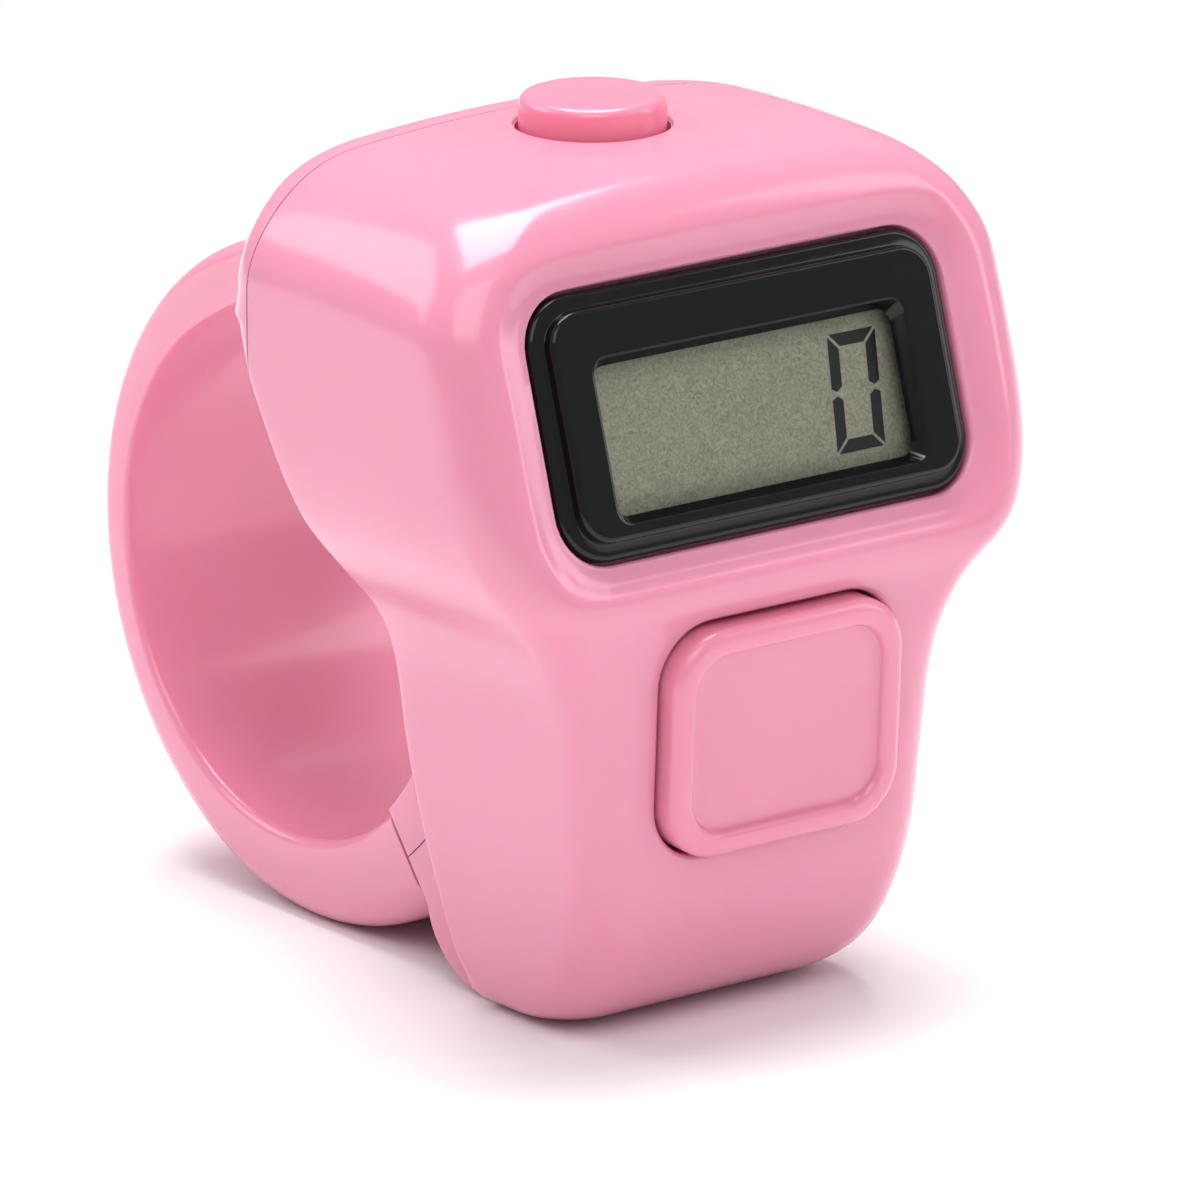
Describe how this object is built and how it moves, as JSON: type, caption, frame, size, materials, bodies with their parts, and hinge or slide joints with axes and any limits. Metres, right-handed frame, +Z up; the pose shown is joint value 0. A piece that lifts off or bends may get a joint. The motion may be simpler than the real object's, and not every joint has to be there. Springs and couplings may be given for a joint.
{
  "type": "finger tally counter",
  "caption": "Ring-worn electronic tally counter: a display head with a front count button and a top reset button, on a hinged finger band.",
  "frame": {"origin": "centre of the bounding box in X and Y, at the plane the foot and the band stand on", "axes": "+X along the finger hole, to the viewer's right when the display is faced; +Y from the display to the band; +Z up through the reset button"},
  "size_m": [0.028, 0.0382, 0.036],
  "materials": {
    "body_pink": "gloss",
    "button_pink": "gloss",
    "reset_pink": "gloss",
    "bezel_black": "gloss",
    "clear_lens": "clear",
    "lcd": "matte polariser",
    "foil": "satin",
    "white_plastic": "matte",
    "zebra": "matte",
    "board_green": "satin solder mask",
    "epoxy_black": "gloss",
    "component_tan": "matte",
    "switch_black": "matte",
    "plunger_white": "matte",
    "flex": "satin film",
    "steel": "bright",
    "brass": "bright"
  },
  "bodies": {
    "body": {"front_shell": "body_pink", "rear_cover": "body_pink", "hinge_pin": "steel", "detent_spring": "steel", "board_link": "flex", "cover_screw_left": "steel", "cover_screw_right": "steel", "display_bezel": "bezel_black", "display_lens": "clear_lens", "lcd_glass": "lcd", "lcd_reflector": "foil", "lcd_frame": "white_plastic", "zebra_connector": "zebra", "main_board": "board_green", "board_screw_left": "steel", "board_screw_right": "steel", "controller_blob": "epoxy_black", "timing_resistor": "epoxy_black", "filter_capacitor": "component_tan", "battery_cell": "steel", "battery_contact_positive": "brass", "battery_contact_negative": "brass", "count_switch_body": "switch_black", "button_board": "board_green", "reset_switch_body": "switch_black"},
    "band": {"ring_band": "body_pink"},
    "count_button": {"count_button": "button_pink"},
    "count_plunger": {"count_switch_plunger": "plunger_white"},
    "reset_button": {"reset_button": "reset_pink"},
    "reset_plunger": {"reset_switch_plunger": "plunger_white"}
  },
  "joints": [
    {"name": "band_hinge", "type": "hinge", "parent": "body", "child": "band", "pos_m": [0, -0.0039, 0.00599], "axis": [-1, 0, 0], "range_deg": [0, 7]},
    {"name": "count_press", "type": "slide", "parent": "body", "child": "count_button", "axis": [0, 0.9986, 0.0523], "range_m": [0, 0.0005], "stiffness_N_per_m": 300, "springref_m": -0.0005},
    {"name": "count_plunger_press", "type": "slide", "parent": "body", "child": "count_plunger", "axis": [0, 0.9986, 0.0523], "range_m": [0, 0.0005]},
    {"name": "reset_press", "type": "slide", "parent": "body", "child": "reset_button", "axis": [0, 0, -1], "range_m": [0, 0.0005], "stiffness_N_per_m": 300, "springref_m": -0.0005},
    {"name": "reset_plunger_press", "type": "slide", "parent": "body", "child": "reset_plunger", "axis": [0, 0, -1], "range_m": [0, 0.0005]}
  ],
  "couplings": [
    {"joint": "count_plunger_press", "follows": "count_press", "ratio": 1},
    {"joint": "reset_plunger_press", "follows": "reset_press", "ratio": 1}
  ]
}
